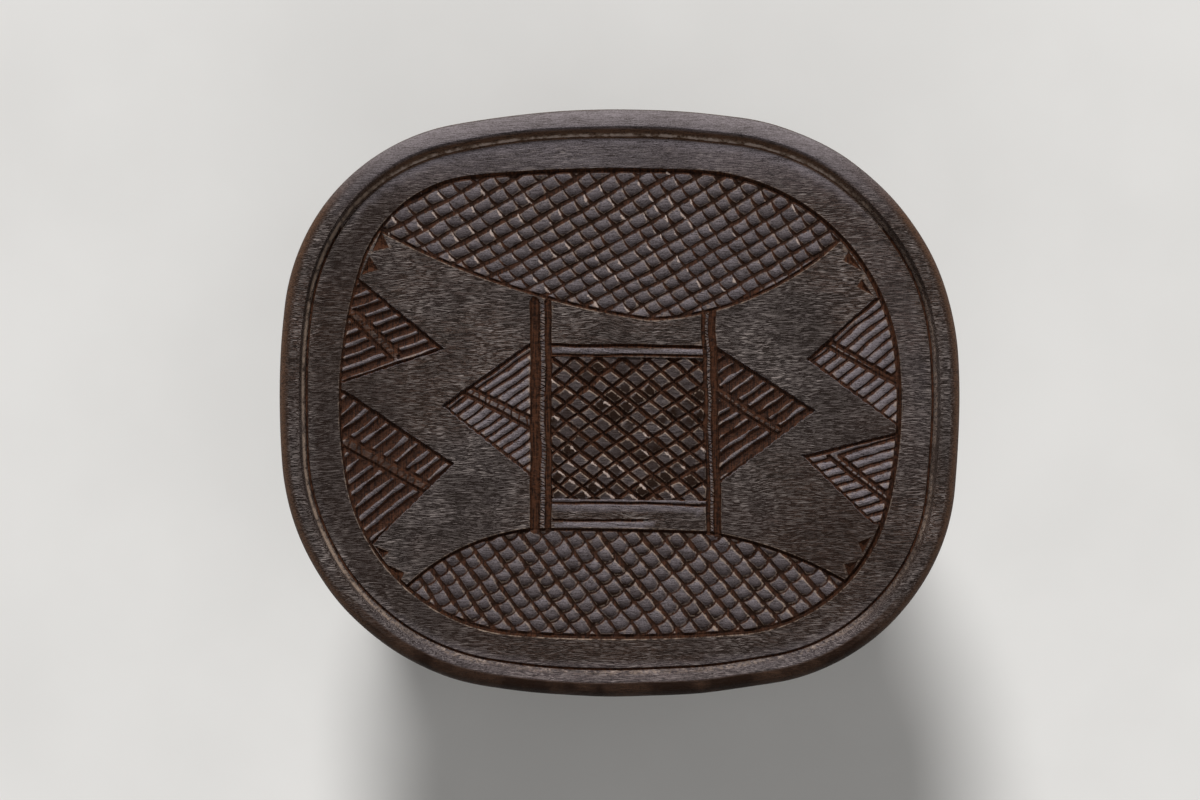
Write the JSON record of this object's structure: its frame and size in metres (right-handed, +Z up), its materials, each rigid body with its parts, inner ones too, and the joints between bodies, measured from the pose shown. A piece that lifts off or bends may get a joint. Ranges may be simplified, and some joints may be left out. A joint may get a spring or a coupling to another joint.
{
  "type": "carved stool",
  "caption": "Low wooden stool with a rimmed, rounded-oblong seat, a chip-carved geometric seat face and splayed legs tenoned into the underside.",
  "frame": {"origin": "on the floor under the middle of the seat, with the stool standing on its feet", "axes": "+X along the seat's longer side, +Y along its shorter side, +Z up through the seat face"},
  "size_m": [0.4, 0.346, 0.26],
  "materials": {
    "seat_wood": "dark, worn and lightly polished by use, with paler streaks along the grain",
    "leg_wood": "dark, hewn in flats, worn at the edges",
    "wedge_wood": "bare split wood, hidden in the joint"
  },
  "bodies": {
    "root": {"seat": "seat_wood", "leg_1": "leg_wood", "leg_2": "leg_wood", "leg_3": "leg_wood", "leg_4": "leg_wood", "leg_5": "leg_wood", "leg_6": "leg_wood", "leg_7": "leg_wood", "leg_8": "leg_wood", "tenon_wedge_1": "wedge_wood", "tenon_wedge_2": "wedge_wood", "tenon_wedge_3": "wedge_wood", "tenon_wedge_4": "wedge_wood", "tenon_wedge_5": "wedge_wood", "tenon_wedge_6": "wedge_wood", "tenon_wedge_7": "wedge_wood", "tenon_wedge_8": "wedge_wood"}
  },
  "joints": []
}
